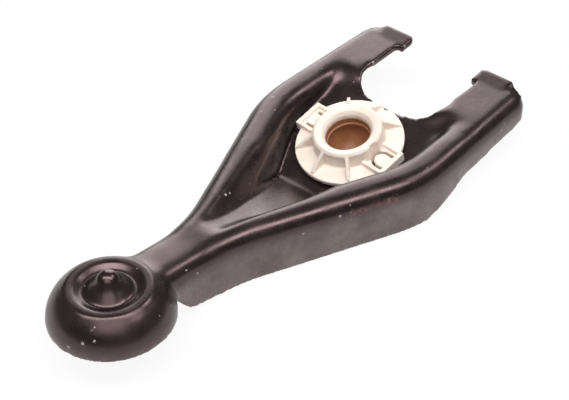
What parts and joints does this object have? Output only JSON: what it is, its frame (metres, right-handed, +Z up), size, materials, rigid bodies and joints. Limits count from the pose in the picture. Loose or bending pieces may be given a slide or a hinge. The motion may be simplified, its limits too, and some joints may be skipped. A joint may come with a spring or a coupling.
{
  "type": "clutch release fork",
  "caption": "Pressed steel clutch release fork with a forked end, a cupped push-rod end and a ribbed plastic ball socket in its pad.",
  "frame": {"origin": "middle of the ball socket's throat, at the top of its cylindrical wall", "axes": "+X from the cupped end towards the prongs, +Y across the fork, +Z up through the dished side"},
  "size_m": [0.1964, 0.0796, 0.0302],
  "materials": {
    "black_steel": "semi-gloss black coating",
    "white_plastic": "satin moulded plastic",
    "brown_plastic": "satin moulded plastic"
  },
  "bodies": {
    "root": {"fork_pressing": "black_steel", "socket_ring": "white_plastic", "ball_cup": "brown_plastic"}
  },
  "joints": []
}
